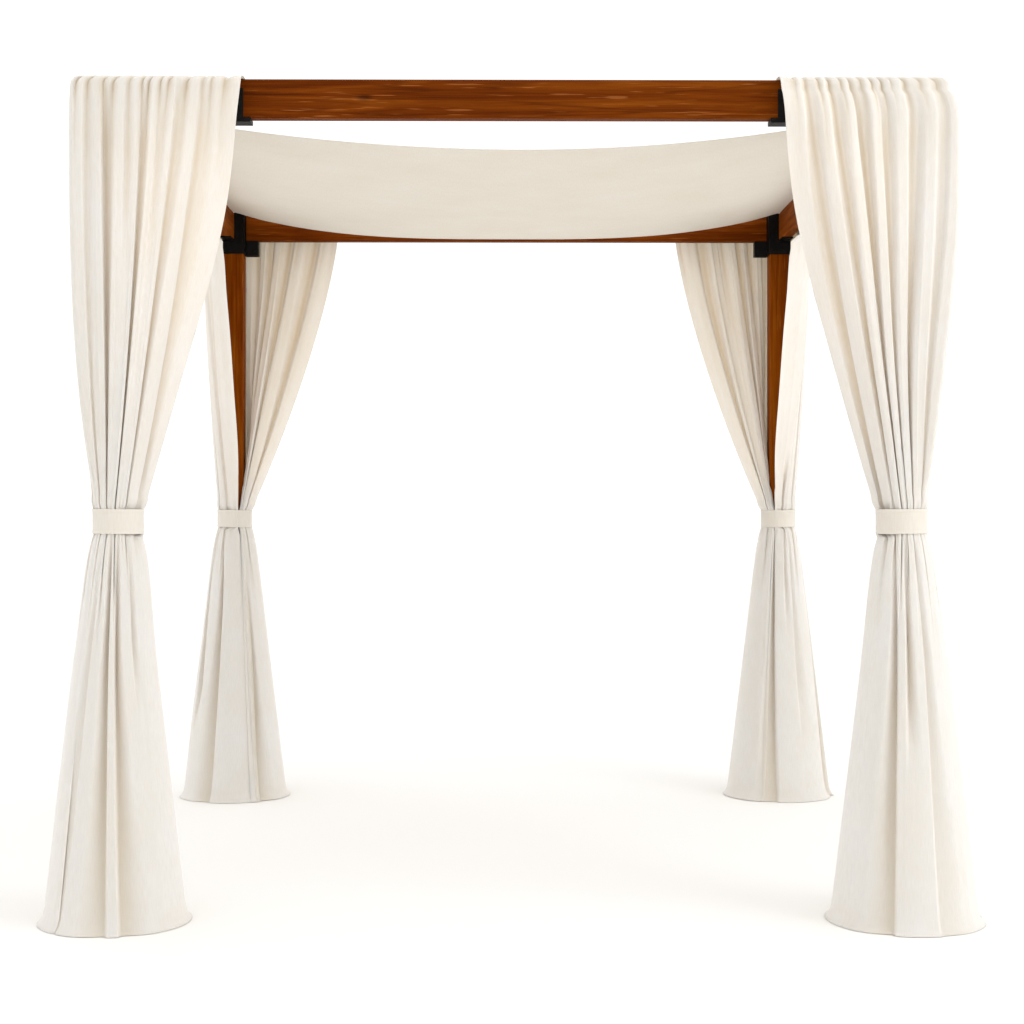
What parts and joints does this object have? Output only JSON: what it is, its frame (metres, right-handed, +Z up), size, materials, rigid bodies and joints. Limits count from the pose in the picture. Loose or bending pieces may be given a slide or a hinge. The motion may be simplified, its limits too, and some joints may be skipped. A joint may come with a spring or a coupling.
{
  "type": "curtained wooden pergola",
  "caption": "Square post-and-beam wooden pergola with steel corner brackets, a sagging cloth canopy and curtains tied back round each post.",
  "frame": {"origin": "on the ground, at the middle of the square plan", "axes": "+Z up, +Y from the front to the rear, +X to the right seen from the front"},
  "size_m": [3.0714, 3.0802, 2.7253],
  "materials": {
    "wood": "red-brown stained softwood, satin",
    "black_steel": "matte black powder coat",
    "curtain_cloth": "warm ivory woven cloth",
    "canopy_cloth": "plain beige woven cloth"
  },
  "bodies": {
    "root": {"post_front_left": "wood", "post_front_right": "wood", "post_rear_left": "wood", "post_rear_right": "wood", "beam_front": "wood", "beam_rear": "wood", "beam_left": "wood", "beam_right": "wood", "corner_bracket_front_left": "black_steel", "corner_bracket_front_right": "black_steel", "corner_bracket_rear_left": "black_steel", "corner_bracket_rear_right": "black_steel", "beam_clip_left": "black_steel", "beam_clip_right": "black_steel", "canopy": "canopy_cloth", "front_curtain_left": "curtain_cloth", "left_curtain_front": "curtain_cloth", "front_curtain_right": "curtain_cloth", "right_curtain_front": "curtain_cloth", "rear_curtain_left": "curtain_cloth", "left_curtain_rear": "curtain_cloth", "rear_curtain_right": "curtain_cloth", "right_curtain_rear": "curtain_cloth", "tie_band_front_left": "curtain_cloth", "tie_band_front_right": "curtain_cloth", "tie_band_rear_left": "curtain_cloth", "tie_band_rear_right": "curtain_cloth"}
  },
  "joints": []
}
